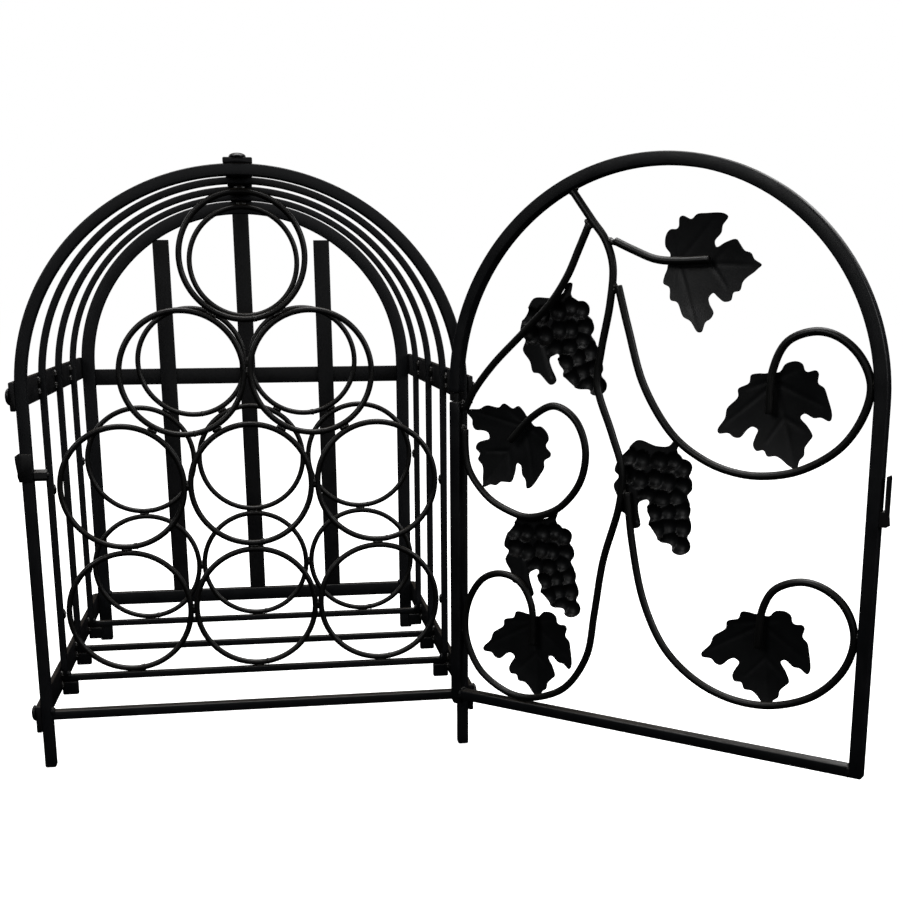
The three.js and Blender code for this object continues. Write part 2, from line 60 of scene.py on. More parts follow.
def rackPlace(points):
    # rack millimetres: x across, y back from the front hoop's face, z up
    return points * mm + rackOrigin


def doorPlace(points):
    # door millimetres: x to the free edge, y to the outer face, z up, turned about the pivots
    c, s = math.cos(doorTurn), math.sin(doorTurn)
    x, y = points[:, 0], points[:, 1]
    return np.column_stack([x * c - y * s, x * s + y * c, points[:, 2]]) * mm + hingeAxis


def nodeDepth(name):
    # a rack node's front and back, in rack millimetres
    low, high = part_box(name)
    return (low.y - rackOrigin[1]) / mm, (high.y - rackOrigin[1]) / mm


# shapes as numpy grids, in millimetres until they are placed

def unit(vectors):
    return vectors / np.linalg.norm(vectors, axis=-1, keepdims=True)


def gridShell(grid, wrapRows=False):
    # a grid of rows that each close on themselves; open ends get a centre point and a fan
    rows, columns = grid.shape[:2]
    index = np.arange(rows * columns).reshape(rows, columns)
    lower = index if wrapRows else index[:-1]
    upper = np.roll(index, -1, 0) if wrapRows else index[1:]
    quads = np.stack([lower, upper, np.roll(upper, -1, 1), np.roll(lower, -1, 1)], -1).reshape(-1, 4)
    points, faces = grid.reshape(-1, 3), quads.tolist()
    if not wrapRows:
        poles = np.array([grid[0].mean(0), grid[-1].mean(0)])
        first, last = len(points), len(points) + 1
        points = np.vstack([points, poles])
        faces += [(first, a, b) for a, b in zip(index[0], np.roll(index[0], -1))]
        faces += [(last, b, a) for a, b in zip(index[-1], np.roll(index[-1], -1))]
    return points, faces


def sweep(path, section, across, soft=0.5, closed=False):
    # point = path(t) + a(s) * side(t) + b(s) * across, with side square to the path;
    # past each open end the section shrinks on a quarter circle of radius soft
    path = np.asarray(path, float)
    ahead = np.roll(path, -1, 0) - np.roll(path, 1, 0) if closed else np.gradient(path, axis=0)
    tangent = unit(ahead)
    side = unit(np.cross(tangent, across))
    rise = np.cross(side, tangent)
    scale = np.ones(len(path))
    if not closed:
        turn = np.linspace(0, math.pi / 2, 4)[1:]
        shrink = 1 - soft * (1 - np.cos(turn)) / np.abs(section).max()
        reach = soft * np.sin(turn)[:, None]
        path = np.vstack([path[0] - reach[::-1] * tangent[0], path, path[-1] + reach * tangent[-1]])
        side = np.vstack([np.repeat(side[:1], 3, 0), side, np.repeat(side[-1:], 3, 0)])
        rise = np.vstack([np.repeat(rise[:1], 3, 0), rise, np.repeat(rise[-1:], 3, 0)])
        scale = np.concatenate([shrink[::-1], scale, shrink])
    spread = section[None] * scale[:, None, None]
    grid = path[:, None] + spread[..., :1] * side[:, None] + spread[..., 1:] * rise[:, None]
    return gridShell(grid, closed)


def barSection(width, depth, radius, steps=3):
    # a rectangle whose corners are quarter circles
    turn = np.linspace(0, math.pi / 2, steps + 1)
    corners = [(1, 1, 0), (-1, 1, 1), (-1, -1, 2), (1, -1, 3)]
    arcs = [np.column_stack([sx * (width / 2 - radius) + radius * np.cos(turn + q * math.pi / 2),
                             sy * (depth / 2 - radius) + radius * np.sin(turn + q * math.pi / 2)])
            for sx, sy, q in corners]
    return np.vstack(arcs)


def wireSection(diameter, count=14):
    # points evenly spaced round a circle
    turn = np.arange(count) * 2 * math.pi / count
    return np.column_stack([np.cos(turn), np.sin(turn)]) * diameter / 2


def lathe(profile, centre, axis, count=28):
    # (distance along the axis, radius) turned about the axis
    axis = unit(np.array(axis, float))
    first = unit(np.cross(axis, [0.31, 0.52, 0.79]))
    second = np.cross(axis, first)
    turn = np.arange(count) * 2 * math.pi / count
    spokes = np.cos(turn)[:, None] * first + np.sin(turn)[:, None] * second
    profile = np.asarray(profile, float)
    grid = np.asarray(centre, float) + profile[:, None, :1] * axis + profile[:, None, 1:] * spokes[None]
    return gridShell(grid)


def bead(centre, along, length, width, height=None, ripples=3):
    # a weld bead: an ellipsoid whose radius carries the ripples of the run and a little unevenness
    along = unit(np.array(along, float))
    first = unit(np.cross(along, [0.21, 0.93, 0.31]))
    second = np.cross(along, first)
    height = height or width
    phase = random.uniform(0, 6.28, 3)
    u = np.linspace(-0.97, 0.97, 13)[:, None]
    v = np.arange(12)[None] * 2 * math.pi / 12
    swell = np.sqrt(1 - u ** 2) * (1 + 0.09 * np.sin(ripples * math.pi * u + phase[0] + 0.4 * np.cos(v))
                                   + 0.07 * np.sin(2 * v + phase[1])
                                   + 0.05 * np.sin(3 * v + 4 * u + phase[2]))
    grid = (np.asarray(centre, float) + (u * length / 2 + 0 * v)[..., None] * along
            + (swell * np.cos(v) * width / 2)[..., None] * first
            + (swell * np.sin(v) * height / 2)[..., None] * second)
    return gridShell(grid)


def smoothPath(points, step=3.0, closed=False):
    # centripetal curve through the points, as cubic Hermite spans, then evenly spaced
    points = np.asarray(points, float)
    if closed:
        points = np.vstack([points[-1:], points, points[:2]])
    else:
        points = np.vstack([2 * points[0] - points[1], points, 2 * points[-1] - points[-2]])
    spans = []
    for a, b, c, d in zip(points, points[1:], points[2:], points[3:]):
        ta, tb, tc = (max(np.linalg.norm(q - p), 1e-6) ** 0.5 for p, q in ((a, b), (b, c), (c, d)))
        inTangent = (c - b) + tb * ((b - a) / ta - (c - a) / (ta + tb))
        outTangent = (c - b) + tb * ((d - c) / tc - (d - b) / (tb + tc))
        t = np.linspace(0, 1, 12, endpoint=False)[:, None]
        spans.append((2 * t ** 3 - 3 * t ** 2 + 1) * b + (t ** 3 - 2 * t ** 2 + t) * inTangent
                     + (3 * t ** 2 - 2 * t ** 3) * c + (t ** 3 - t ** 2) * outTangent)
    curve = np.vstack(spans + ([] if closed else [points[-2:-1]]))
    if closed:
        curve = np.vstack([curve, curve[:1]])
    run = np.concatenate([[0], np.cumsum(np.linalg.norm(np.diff(curve, axis=0), axis=1))])
    count = max(4, round(run[-1] / step))
    wanted = np.linspace(0, run[-1], count + 1)[:count if closed else None]
    return np.column_stack([np.interp(wanted, run, curve[:, k]) for k in range(points.shape[1])])


def sheetShell(outline, height, thick, pitch, place):
    # a sheet cut to the outline: inner points on a grid of that pitch, y = height(a, b),
    # its back the same sheet moved by thick, and a wall round the edge
    low, high = outline.min(0), outline.max(0)
    a, b = np.meshgrid(np.arange(low[0], high[0], pitch), np.arange(low[1], high[1], pitch))
    inner = np.column_stack([a.ravel(), b.ravel()])
    near = np.linalg.norm(inner[:, None] - outline[None], axis=2).min(1)
    inner = inner[near > 0.55 * pitch]
    flat = [Vector(p) for p in np.vstack([outline, inner])]
    ring = list(range(len(outline)))
    points, _, faces = delaunay_2d_cdt(flat, [], [ring], 1, 1e-5)[:3]
    flat = np.array([tuple(p) for p in points])
    faces = np.array([f for f in faces if len(f) == 3])
    y = height(flat[:, 0], flat[:, 1])
    front = place(flat, y)
    back = place(flat, y + thick)
    count = len(flat)
    sides = np.vstack([faces[:, [0, 1]], faces[:, [1, 2]], faces[:, [2, 0]]])
    known = {tuple(s) for s in sides.tolist()}
    rim = [(p, q) for p, q in known if (q, p) not in known]
    wall = [(q, p, p + count, q + count) for p, q in rim]
    return np.vstack([front, back]), faces.tolist() + (faces[:, ::-1] + count).tolist() + wall


def piece(name, shells, material, body, place, replaces=None, sharp=35):
    # one mesh of all the shells, smooth but for edges steeper than sharp degrees, riding on its body
    points = np.vstack([p for p, _ in shells])
    faces, start = [], 0
    for p, f in shells:
        faces += [tuple(int(i) + start for i in face) for face in f]
        start += len(p)
    mesh = bpy.data.meshes.new(name)
    mesh.from_pydata(place(points).tolist(), [], faces)
    mesh.materials.append(material)
    obj = bpy.data.objects.new(name, mesh)
    bpy.context.scene.collection.objects.link(obj)
    bpy.context.view_layer.objects.active = obj
    obj.select_set(True)
    bpy.ops.object.mode_set(mode="EDIT")
    bpy.ops.mesh.select_all(action="SELECT")
    bpy.ops.mesh.normals_make_consistent(inside=False)
    bpy.ops.object.mode_set(mode="OBJECT")
    bpy.ops.object.shade_smooth_by_angle(angle=math.radians(sharp))
    obj.select_set(False)
    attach(obj, body)
    if replaces:
        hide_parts(replaces)
    return obj


# materials: everything is black, so the coats differ in gloss, grain and a grey-brown painted top light

def linear(hexColour):
    # sRGB hex to linear RGB
    channels = [int(hexColour[i:i + 2], 16) / 255 for i in (1, 3, 5)]
    return tuple(c / 12.92 if c <= 0.04045 else ((c + 0.055) / 1.055) ** 2.4 for c in channels) + (1.0,)


def addNode(tree, kind, settings=None, links=None):
    # settings are input values or node properties, links are sockets to join to its inputs
    node = tree.nodes.new("ShaderNode" + kind)
    for key, value in (settings or {}).items():
        if key in node.inputs:
            node.inputs[key].default_value = value
        else:
            setattr(node, key, value)
    for key, source in (links or {}).items():
        tree.links.new(source, node.inputs[key])
    return node


# grey-brown painted top light, laid on faces that look up
topLightColour = "#4a4238"
patchScale = 45.0  # per metre, so patches of tone and gloss are about 22 mm across
peelDepth = 0.08 * mm


def coating(name, dark, light, roughness, grain, relief, topLight, shine=0.3):
    # black polyester powder baked on steel: fine orange-peel relief of the given grain in mm,
    # gloss that wanders a little, and a thin grey-brown painted top light, in patches, on what looks up
    material = bpy.data.materials.new(name)
    material.use_nodes = True
    tree = material.node_tree
    tree.nodes.clear()
    where = addNode(tree, "TexCoord").outputs["Object"]
    peel = addNode(tree, "TexNoise", {"Scale": 1000 / grain, "Detail": 2.0, "Roughness": 0.55},
                   {"Vector": where})
    patch = addNode(tree, "TexNoise", {"Scale": patchScale, "Detail": 4.0, "Roughness": 0.6},
                    {"Vector": where})
    # painted top light: the more a face looks up, the more of the grey-brown colour it gets, in patches
    facing = addNode(tree, "SeparateXYZ", links={"Vector": addNode(tree, "NewGeometry").outputs["Normal"]})
    up = addNode(tree, "MapRange", {"From Min": 0.45, "From Max": 0.95, "To Max": topLight},
                 {"Value": facing.outputs["Z"]})
    topLightPatches = addNode(tree, "Math", {"operation": "MULTIPLY"}, {0: up.outputs[0]})
    tree.links.new(patch.outputs[0], topLightPatches.inputs[1])
    tone = addNode(tree, "Mix", {"data_type": "RGBA"}, {"Factor": patch.outputs[0]})
    tone.inputs[6].default_value, tone.inputs[7].default_value = linear(dark), linear(light)
    topLitTone = addNode(tree, "Mix", {"data_type": "RGBA"}, {"Factor": topLightPatches.outputs[0]})
    tree.links.new(tone.outputs[2], topLitTone.inputs[6])
    topLitTone.inputs[7].default_value = linear(topLightColour)
    gloss = addNode(tree, "MapRange", {"From Min": 0.3, "From Max": 0.7, "To Min": roughness - 0.06,
                                       "To Max": roughness + 0.08}, {"Value": patch.outputs[0]})
    bump = addNode(tree, "Bump", {"Strength": relief, "Distance": peelDepth}, {"Height": peel.outputs[0]})
    shader = addNode(tree, "BsdfPrincipled", {"IOR": 1.5, "Specular IOR Level": shine}, {
        "Base Color": topLitTone.outputs[2], "Roughness": gloss.outputs[0], "Normal": bump.outputs[0]})
    tree.links.new(shader.outputs[0], addNode(tree, "OutputMaterial").inputs["Surface"])
    return material


# square bar, rolled and welded: dull flat faces, with the light drawn along the rounded edges
barCoat = coating("powder coated square bar", "#0b0c0e", "#131417", 0.4, 0.9, 0.5, 0.5)
# flat strip, cut to length: wide faces that shift between dull and satin along their run
flatCoat = coating("powder coated flat strip", "#0a0a0b", "#111113", 0.38, 0.9, 0.45, 0.5)
# drawn wire, bent to rings: an even coat whose round shows one narrow line of light
wireCoat = coating("powder coated drawn wire", "#0a0a0a", "#121110", 0.36, 0.7, 0.4, 0.5)
# bent rod: the same line of light, with less painted top light than the bars
rodCoat = coating("powder coated bent rod", "#0a0b0b", "#121211", 0.38, 0.7, 0.4, 0.35)
# stamped sheet: the dullest coat, so that a leaf's veins and a grape's domes show as soft grey
sheetCoat = coating("powder coated stamped sheet", "#0a0b0c", "#121315", 0.44, 0.6, 0.55, 0.2)
# weld beads under the powder: lumps that catch a small bright glint at each joint, and a lighter brownish
# tone painted on as highlight
weldCoat = coating("powder coated weld bead", "#0d0d0c", "#1b1916", 0.3, 0.5, 0.8, 0.5, 0.5)
# turned and pressed hardware, lacquered: smoother than powder, with small crisp lights on the heads
fixingCoat = coating("black lacquered hardware", "#0b0b0c", "#141415", 0.32, 0.8, 0.3, 0.4, 0.4)
print("materials made")


# hoops: legs, half ellipse and rail of each, with the welds inside their corners

spring = 293.0  # height at which the legs end and the arch starts
halfWidth = (rackHigh.x - rackLow.x) / 2 / mm
archRise = (rackHigh.z / mm) - spring
innerHoop = dict(bar=5.6, rail=(37.7, 43.5), corner=0.9, stands=False)
hoops = {
    "front_hoop": dict(bar=8.6, rail=(39.4, 46.5), corner=1.1, stands=True),
    "second_hoop": innerHoop,
    "third_hoop": innerHoop,
    "fourth_hoop": innerHoop,
    "rear_hoop": dict(bar=12.6, rail=(38.6, 52.0), corner=1.0, stands=True),
}
footBlock = dict(width=13.6, low=25.6, high=37.0, corner=1.3, soft=1.0)
legSoft = 1.6
innerLegLow = 38.0  # the inner hoops' legs end inside their rails, above the foot blocks


def archPath(centre, half, rise, springHeight, foot, steps=96):
    # up one leg, over a half ellipse, down the other leg
    leg = np.linspace(foot, springHeight, 30)[:-1]
    turn = np.linspace(math.pi, 0, steps)
    x = np.concatenate([np.full(len(leg), -half), half * np.cos(turn), np.full(len(leg), half)])
    z = np.concatenate([leg, springHeight + rise * np.sin(turn), leg[::-1]])
    return np.column_stack([x + centre, np.zeros(len(x)), z])


for name, hoop in hoops.items():
    front, back = nodeDepth(name)
    middle, depth, bar = (front + back) / 2, back - front, hoop["bar"]
    foot = legSoft if hoop["stands"] else innerLegLow + legSoft
    path = archPath(0, halfWidth - bar / 2, archRise - bar / 2, spring, foot) + [0, middle, 0]
    shells = [sweep(path, barSection(bar, depth, hoop["corner"]), [0, 1, 0], soft=legSoft)]
    low, high = hoop["rail"]
    reach = halfWidth - bar * 0.6
    rail = [[x, middle, (low + high) / 2] for x in np.linspace(-reach, reach, 40)]
    shells.append(sweep(rail, barSection(high - low, depth * 0.94, 0.9), [0, 1, 0]))
    for sign in (-1, 1):
        # a bead up the front of the corner and one along its whole depth
        inner = sign * (halfWidth - bar)
        shells.append(bead([inner - sign * 0.4, front + 0.8, high], [0, 0, 1], 7, 3.6))
        shells.append(bead([inner - sign * 0.6, middle, high + 0.2], [0, 1, 0], depth * 0.9, 3.4))
        if not hoop["stands"]:
            x, ends = sign * (halfWidth - footBlock["width"] / 2), footBlock["soft"]
            heights = np.linspace(footBlock["low"] + ends, footBlock["high"] - ends, 6)
            section = barSection(footBlock["width"], depth, footBlock["corner"])
            shells.append(sweep([[x, middle, z] for z in heights], section, [0, 1, 0], soft=ends))
    piece(name + "_bar", shells, barCoat, "rack", rackPlace, name)
print("hoops made")


# stringers, with the formed rivets at their rear ends, and the front bolts

strip = dict(width=21.5, thick=3.8, middle=291.5, low=40.3, boltLow=45.0, soft=0.6)
rackDepth = nodeDepth("rear_hoop")[1]
gap = 0.3  # every weld in the CAD is this wide
# a domed head: height above the strip, radius
headProfile = [(-0.2, 5.6), (0.0, 6.2), (0.5, 6.3), (1.0, 6.15), (1.8, 5.4), (2.4, 4.2), (2.8, 2.7),
               (2.98, 1.2), (3.0, 0.3)]
boltLine = 4.3  # back from the front hoop's face
rivetInset = 4.0  # forward from the rear hoop's back
lines = {
    "top": ([0, 0, spring + archRise], [0, 0, 1]),
    "left_middle": ([-halfWidth, 0, strip["middle"]], [-1, 0, 0]),
    "right_middle": ([halfWidth, 0, strip["middle"]], [1, 0, 0]),
    "left_lower": ([-halfWidth, 0, strip["low"]], [-1, 0, 0]),
    "right_lower": ([halfWidth, 0, strip["low"]], [1, 0, 0]),
}
for name, (start, outward) in lines.items():
    start, outward = np.array(start, float), np.array(outward, float)
    centre = start + outward * (gap / 2 + strip["thick"] / 2)
    ys = np.linspace(strip["soft"], rackDepth - strip["soft"], 90)
    # a strip straightened by hand wavers by a tenth of a millimetre
    wave = 0.12 * np.sin(ys / 31.0 + start[0])
    path = centre + np.column_stack([np.zeros(90), ys, np.zeros(90)]) + wave[:, None] * outward
    shells = [sweep(path, barSection(strip["width"], strip["thick"] + gap, 0.9), outward,
                    soft=strip["soft"])]
    lift = [0, 0, strip["boltLow"] - strip["low"]] if name.endswith("lower") else [0, 0, 0]
    seat = start + outward * (gap + strip["thick"]) + lift
    shells.append(lathe(headProfile, seat + [0, rackDepth - rivetInset, 0], outward))
    piece(name + "_strip", shells, flatCoat, "rack", rackPlace, name + "_stringer")
    underHead = [(0.1, 6.1), (0.3, 6.3)]
    boltShells = [lathe(underHead + headProfile[2:], seat + outward * gap + [0, boltLine, 0], outward)]
    boltShells.append(lathe([(-5, 2.0), (0.5, 2.0)], seat + [0, boltLine, 0], outward, 12))
    piece(name + "_screw", boltShells, fixingCoat, "rack", rackPlace, name + "_bolt")
print("stringers made")


# rings in rows of three, three, two and one, welded where they touch and to the hoop round them

ring = dict(outer=53.9, wire=5.0, spacing=108.1, first=97.7, stagger=95.1, sideLine=164.3)
spacing = ring["spacing"]
secondRow = ring["first"] + spacing
rows = [ring["first"], secondRow, secondRow + ring["stagger"], secondRow + 2 * ring["stagger"]]
ringCentres = {
    "row1_left": (-spacing, rows[0]), "row1_middle": (0, rows[0]), "row1_right": (spacing, rows[0]),
    "row2_left": (-spacing, rows[1]), "row2_middle": (0, rows[1]), "row2_right": (spacing, rows[1]),
    "row3_left": (-spacing / 2, rows[2]), "row3_right": (spacing / 2, rows[2]),
    "row4_top": (0, rows[3]),
}
for panel, hoop in (("front", "second_hoop"), ("rear", "fourth_hoop")):
    front, back = nodeDepth(hoop)
    middle = (front + back) / 2
    for spot, (x, z) in ringCentres.items():
        turn = np.arange(120) * 2 * math.pi / 120
        start = random.uniform(0, 6.28)
        # a bent ring is out of round by a tenth of a millimetre or two
        unevenness = 0.12 * np.sin(2 * turn + start) + 0.08 * np.sin(3 * turn)
        radius = ring["outer"] - ring["wire"] / 2 + unevenness
        path = np.column_stack([x + radius * np.sin(turn), np.full(120, middle), z - radius * np.cos(turn)])
        shells = [sweep(path, wireSection(ring["wire"]), [0, 1, 0], closed=True)]
        shells.append(bead(path[3], [1, 0, 0.1], 6.5, 5.7))  # where the wire's ends meet, near the foot
        name = f"{panel}_ring_{spot}"
        piece(name + "_wire", shells, wireCoat, "rack", rackPlace, name, sharp=60)
    shells = []
    hoopWeld = dict(length=9, width=4.0, height=3.6)
    centres = list(ringCentres.values())
    for i, (xa, za) in enumerate(centres):
        for xb, zb in centres[i + 1:]:
            if math.hypot(xa - xb, za - zb) < spacing + 2:
                along = [za - zb, 0, xb - xa]
                shells.append(bead([(xa + xb) / 2, middle, (za + zb) / 2], along, 9, 4.2, 4.0))
        if za == rows[0]:
            shells.append(bead([xa, middle, za - ring["outer"]], [1, 0, 0], **hoopWeld))
        if abs(xa) > 100:
            shells.append(bead([math.copysign(ring["sideLine"], xa), middle, za], [0, 0, 1], **hoopWeld))
    shells.append(bead([0, middle, rows[3] + ring["outer"]], [1, 0, 0], **hoopWeld))
    piece(panel + "_ring_welds", shells, weldCoat, "rack", rackPlace, sharp=60)
print("rings made")


# welds of the inner hoops to the stringers, a pair on each side of a joint

shells = []
for name in ("second_hoop", "third_hoop", "fourth_hoop"):
    front, back = nodeDepth(name)
    for sign in (-1, 1):
        for z in (strip["middle"], strip["low"]):
            for y, lean in ((front - 0.3, 1), (back + 0.3, -1)):
                for dz in (-5, 4.5):
                    shells.append(bead([sign * (halfWidth - 0.3), y, z + dz + random.uniform(-1, 1)],
                                       [0, 0.2 * lean, 1], 7.5, 4.2))
    for y in (front - 0.3, back + 0.3):
        for dx in (-6, 5):
            shells.append(bead([dx, y, spring + archRise + 0.1], [1, 0, 0], 6.5, 3.0))
piece("stringer_welds", shells, weldCoat, "rack", rackPlace, sharp=60)


# back grille: three slats and a band, as long and wide as their CAD boxes

for name in ("back_slat_left", "back_slat_middle", "back_slat_right", "back_band"):
    low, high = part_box(name)
    low = (np.array(low) - rackOrigin) / mm
    high = (np.array(high) - rackOrigin) / mm
    middle = (low + high) / 2
    if name == "back_band":
        path = [[x, middle[1], middle[2]] for x in np.linspace(low[0], high[0], 60)]
        section = barSection(high[2] - low[2], high[1] - low[1], 0.7)
    else:
        # a hand-set slat leans a little to the left and overlaps the arch where it is welded
        path = [[middle[0] + 0.8 - 2.4 * t, middle[1], low[2] + t * (high[2] + 2 - low[2])]
                for t in np.linspace(0, 1, 60)]
        section = barSection(high[0] - low[0], high[1] - low[1], 0.7)
    shells = [sweep(path, section, [0, 1, 0], soft=0.3)]
    piece(name + "_strip", shells, flatCoat, "rack", rackPlace, name)
print("grille made")


# door frame: its hinge upright is parted round the upper lug

door = dict(left=-4.5, width=333.6, bar=9.0, spring=294.2, top=457.23, rail=(44.0, 52.0), hinge=287.0,
            parting=3.35)
doorMiddle = door["left"] + door["width"] / 2
doorRise = door["top"] - door["spring"]
path = archPath(doorMiddle, door["width"] / 2 - door["bar"] / 2, doorRise - door["bar"] / 2,
                door["spring"], door["rail"][0] + 1)
section = barSection(door["bar"], door["bar"], 1.1)
lowerEnd = door["hinge"] - door["parting"] - 1
upperStart = door["hinge"] + door["parting"] + 1
heights = np.linspace(door["rail"][0] + 1, lowerEnd, 30)
below = np.column_stack([np.full(30, path[0, 0]), np.zeros(30), heights])
pastParting = (path[:, 2] > upperStart + 2) | (path[:, 0] > doorMiddle)
above = np.vstack([[path[0, 0], 0, upperStart], path[pastParting]])
shells = [sweep(below, section, [0, 1, 0], soft=1.0), sweep(above, section, [0, 1, 0], soft=1.0)]
railHeight = sum(door["rail"]) / 2
rail = [[x, 0, railHeight] for x in np.linspace(2, door["left"] + door["width"] - 6, 40)]
shells.append(sweep(rail, barSection(door["rail"][1] - door["rail"][0], 8.8, 1.0), [0, 1, 0]))
for x in (door["left"] + door["bar"], door["left"] + door["width"] - door["bar"]):
    # beads across the rail's end on both faces, and one along its top
    for y in (-4.2, 4.2):
        shells.append(bead([x, y, railHeight], [0, 0, 1], 8, 2.6))
    shells.append(bead([x, 0, door["rail"][1]], [0, 1, 0], 7.5, 3.0))
piece("door_bar", shells, barCoat, "door", doorPlace, "door_frame")


# vine rods, bent in the door's middle plane: x from the pivots, z from the floor

rodWire = 5.5
railLine = door["rail"][1] + gap + rodWire / 2
leftLine = door["left"] + door["bar"] + gap + rodWire / 2
rightLine = door["left"] + door["width"] - door["bar"] - gap - rodWire / 2
rods = {
    "vine_stem": [(99.3, 434.4), (115, 414.3), (125.6, 401), (131.8, 383.7), (130.5, 358.3), (124, 324),
                  (121.5, 300.5), (134.3, 265.5), (142.8, 240.3), (141.4, 215), (129.2, 172), (122.8, 131),
                  (116.9, 97), (99, 69.6), (76.8, 57.9), (60, railLine), (43.2, 57.9), (20.5, 71.8),
                  (leftLine + 0.2, 98), (9.8, 124.5), (23.5, 145.8), (40.4, 152.2), (57.2, 147.7),
                  (68, 131), (69.8, 99)],
    "vine_branch_top_right": [(133.6, 399.6), (146.7, 393.8), (164.6, 387), (182, 385.5), (203.3, 386)],
    "vine_branch_top_left": [(112, 410.6), (105, 395.7), (96, 377), (83, 358.8), (58.8, 336), (32.7, 312.2),
                             (15.6, 292), (leftLine + 0.6, 278.5)],
    "vine_scroll_upper_right": [(136.6, 369), (145, 340.5), (158.6, 300.5), (181.8, 267.5), (204.8, 252),
                                (226, 245), (248.1, 243.6), (274.3, 249.4), (299.8, 265.8), (313.4, 287.3),
                                (rightLine - 0.3, 307), (308.4, 325), (293.3, 337), (278.2, 339.8),
                                (260.6, 333), (251.8, 315), (250.5, 286)],
    "vine_scroll_lower_left": [(leftLine, 262), (leftLine + 0.2, 248.5), (10, 234), (17, 222.5),
                               (30.7, 209.8), (47, 202.4), (62, 199), (78, 201.8), (93.9, 210.2),
                               (109, 229.3), (113, 252), (106.3, 271.3), (95.5, 281),
                               (84.1, 283.6), (67.2, 274.6), (48.5, 256)],
    "vine_scroll_lower_right": [(147.6, 224), (152, 190.3), (163.2, 144.7), (181.2, 112.2), (206, 92.6),
                                (233.7, 83.4), (263.4, 84), (293, 96.5), (311.9, 118.5), (rightLine, 141),
                                (309.8, 160), (295.2, 171.2), (279, 174), (260.8, 166.5), (252.8, 151.2),
                                (251, 124)],
}
for name, points in rods.items():
    flat = smoothPath(points, 2.5)
    path = np.column_stack([flat[:, 0], np.zeros(len(flat)), flat[:, 1]])
    shells = [sweep(path, wireSection(rodWire, 16), [0, 1, 0], soft=0.5)]
    piece(name + "_rod", shells, rodCoat, "door", doorPlace, name, sharp=50)

# where rods touch the frame, each other or an ornament's edge: place in the door, run of the bead
touches = [
    (99.6, 435.0, 1, 0.7), (112.2, 412, 1, -1), (130.6, 399.6, 1, -0.6), (133.7, 368, 0, 1),
    (5.6, 281, 0, 1), (5.2, 262, 0, 1), (319.4, 307, 0, 1), (319.6, 141, 0, 1), (5.3, 102, 0, 1),
    (60, 52.6, 1, 0), (144.8, 223, 0, 1),
]
shells = [bead([x, random.uniform(-0.6, 0.6), z], [dx, 0, dz], 8.5, 4.2, 4.6) for x, z, dx, dz in touches]
piece("vine_welds", shells, weldCoat, "door", doorPlace, sharp=60)
print("vine made")


# leaves: x to the right and v down from the stem notch, as the leaf hangs

leafOutline = smoothPath([
    (1.5, -0.2), (5.5, 0), (10.5, -3.6), (18.3, -3.4), (22, -0.5), (22.4, 3.7), (24, 5.1),
    (30, 5.6), (31.3, 7.8), (29.2, 13.7), (32.5, 17.7), (33.3, 24), (33.4, 36), (31.2, 39),
    (25.6, 35.4), (20.8, 34.6), (15, 30.3), (11.2, 31.8), (14.7, 38.4), (16.8, 45.5), (14, 48),
    (9.6, 51.7), (8.1, 56.3), (4.3, 58.8), (0.6, 64.4), (-2, 62), (-4.5, 59.5), (-8, 55),
    (-11.2, 52.4), (-16.9, 51.1), (-18.5, 46.8), (-23.6, 45.8), (-24.9, 41.5), (-22, 36.5),
    (-19.4, 32.7), (-22.7, 29.8), (-26.6, 30.8), (-32.8, 34.7), (-36.8, 33.2), (-39.3, 30.1),
    (-46, 28.4), (-46.3, 26), (-39.3, 19.6), (-36.4, 14), (-27.1, 8.4), (-25.6, 3.5),
    (-17.3, 1.6), (-14.6, -2.9), (-9.6, -2.7), (-5, -1.4), (-2, -1.2)], 1.0, closed=True) * [0.98, 1.03]
leafVeins = [((0, 2), (0, 60)), ((0, 6), (29, 30)), ((0, 6), (-40, 24)), ((0, 4), (17, 2)),
             ((0, 4), (-20, 5)), ((0, 30), (12, 42)), ((0, 30), (-15, 43))]
leaves = {
    "leaf_top_right": (172.5, 385.0, 87.0),
    "leaf_middle_right": (249.6, 311.8, 17.0),
    "leaf_middle_left": (62.0, 270.8, -38.0),
    "leaf_lower_left": (66.3, 120.5, 5.0),
    "leaf_lower_right": (250.6, 145.5, 7.0),
}
leafForm = dict(dome=3.6, middle=26, reach=44, fold=0.05, vein=0.4)
ornamentFace = rodWire / 2 + gap


def distanceTo(x, v, start, end):
    # distance to the segment from start to end, and how far along it the nearest point is
    (xa, va), (xb, vb) = start, end
    length = (xb - xa) ** 2 + (vb - va) ** 2
    t = np.clip(((x - xa) * (xb - xa) + (v - va) * (vb - va)) / length, 0, 1)
    return np.hypot(x - xa - t * (xb - xa), v - va - t * (vb - va)), t


def leafHeight(x, v):
    # a shallow dome, less a fold that deepens away from the midrib, with veins pressed outwards
    away = (x ** 2 + (v - leafForm["middle"]) ** 2) / leafForm["reach"] ** 2
    dome = leafForm["dome"] - leafForm["dome"] * np.clip(away, 0, 1)
    fold = -leafForm["fold"] * np.sqrt(x ** 2 + 4)
    veins = 0
    for start, end in leafVeins:
        d, t = distanceTo(x, v, start, end)
        veins = np.maximum(veins, (leafForm["vein"] - 0.25 * t) * np.exp(-(d / (1.7 - 0.6 * t)) ** 2))
    return ornamentFace + 0.25 + dome + fold + veins


def hangPlace(x0, z0, turn):
    # the notch goes to x0, z0 on the door and the ornament hangs from it, turned by that many degrees
    c, s = math.cos(math.radians(turn)), math.sin(math.radians(turn))

    def place(flat, y):
        x, v = flat[:, 0], flat[:, 1]
        return np.column_stack([x0 + x * c + v * s, y, z0 + x * s - v * c])
    return place


for name, (x, z, turn) in leaves.items():
    place = hangPlace(x, z, turn)
    shells = [sheetShell(leafOutline, leafHeight, 1.1, 1.3, place)]
    piece(name + "_sheet", shells, sheetCoat, "door", doorPlace, name, sharp=50)
print("leaves made")


# grape clusters: x to the right and v down from the stem tab

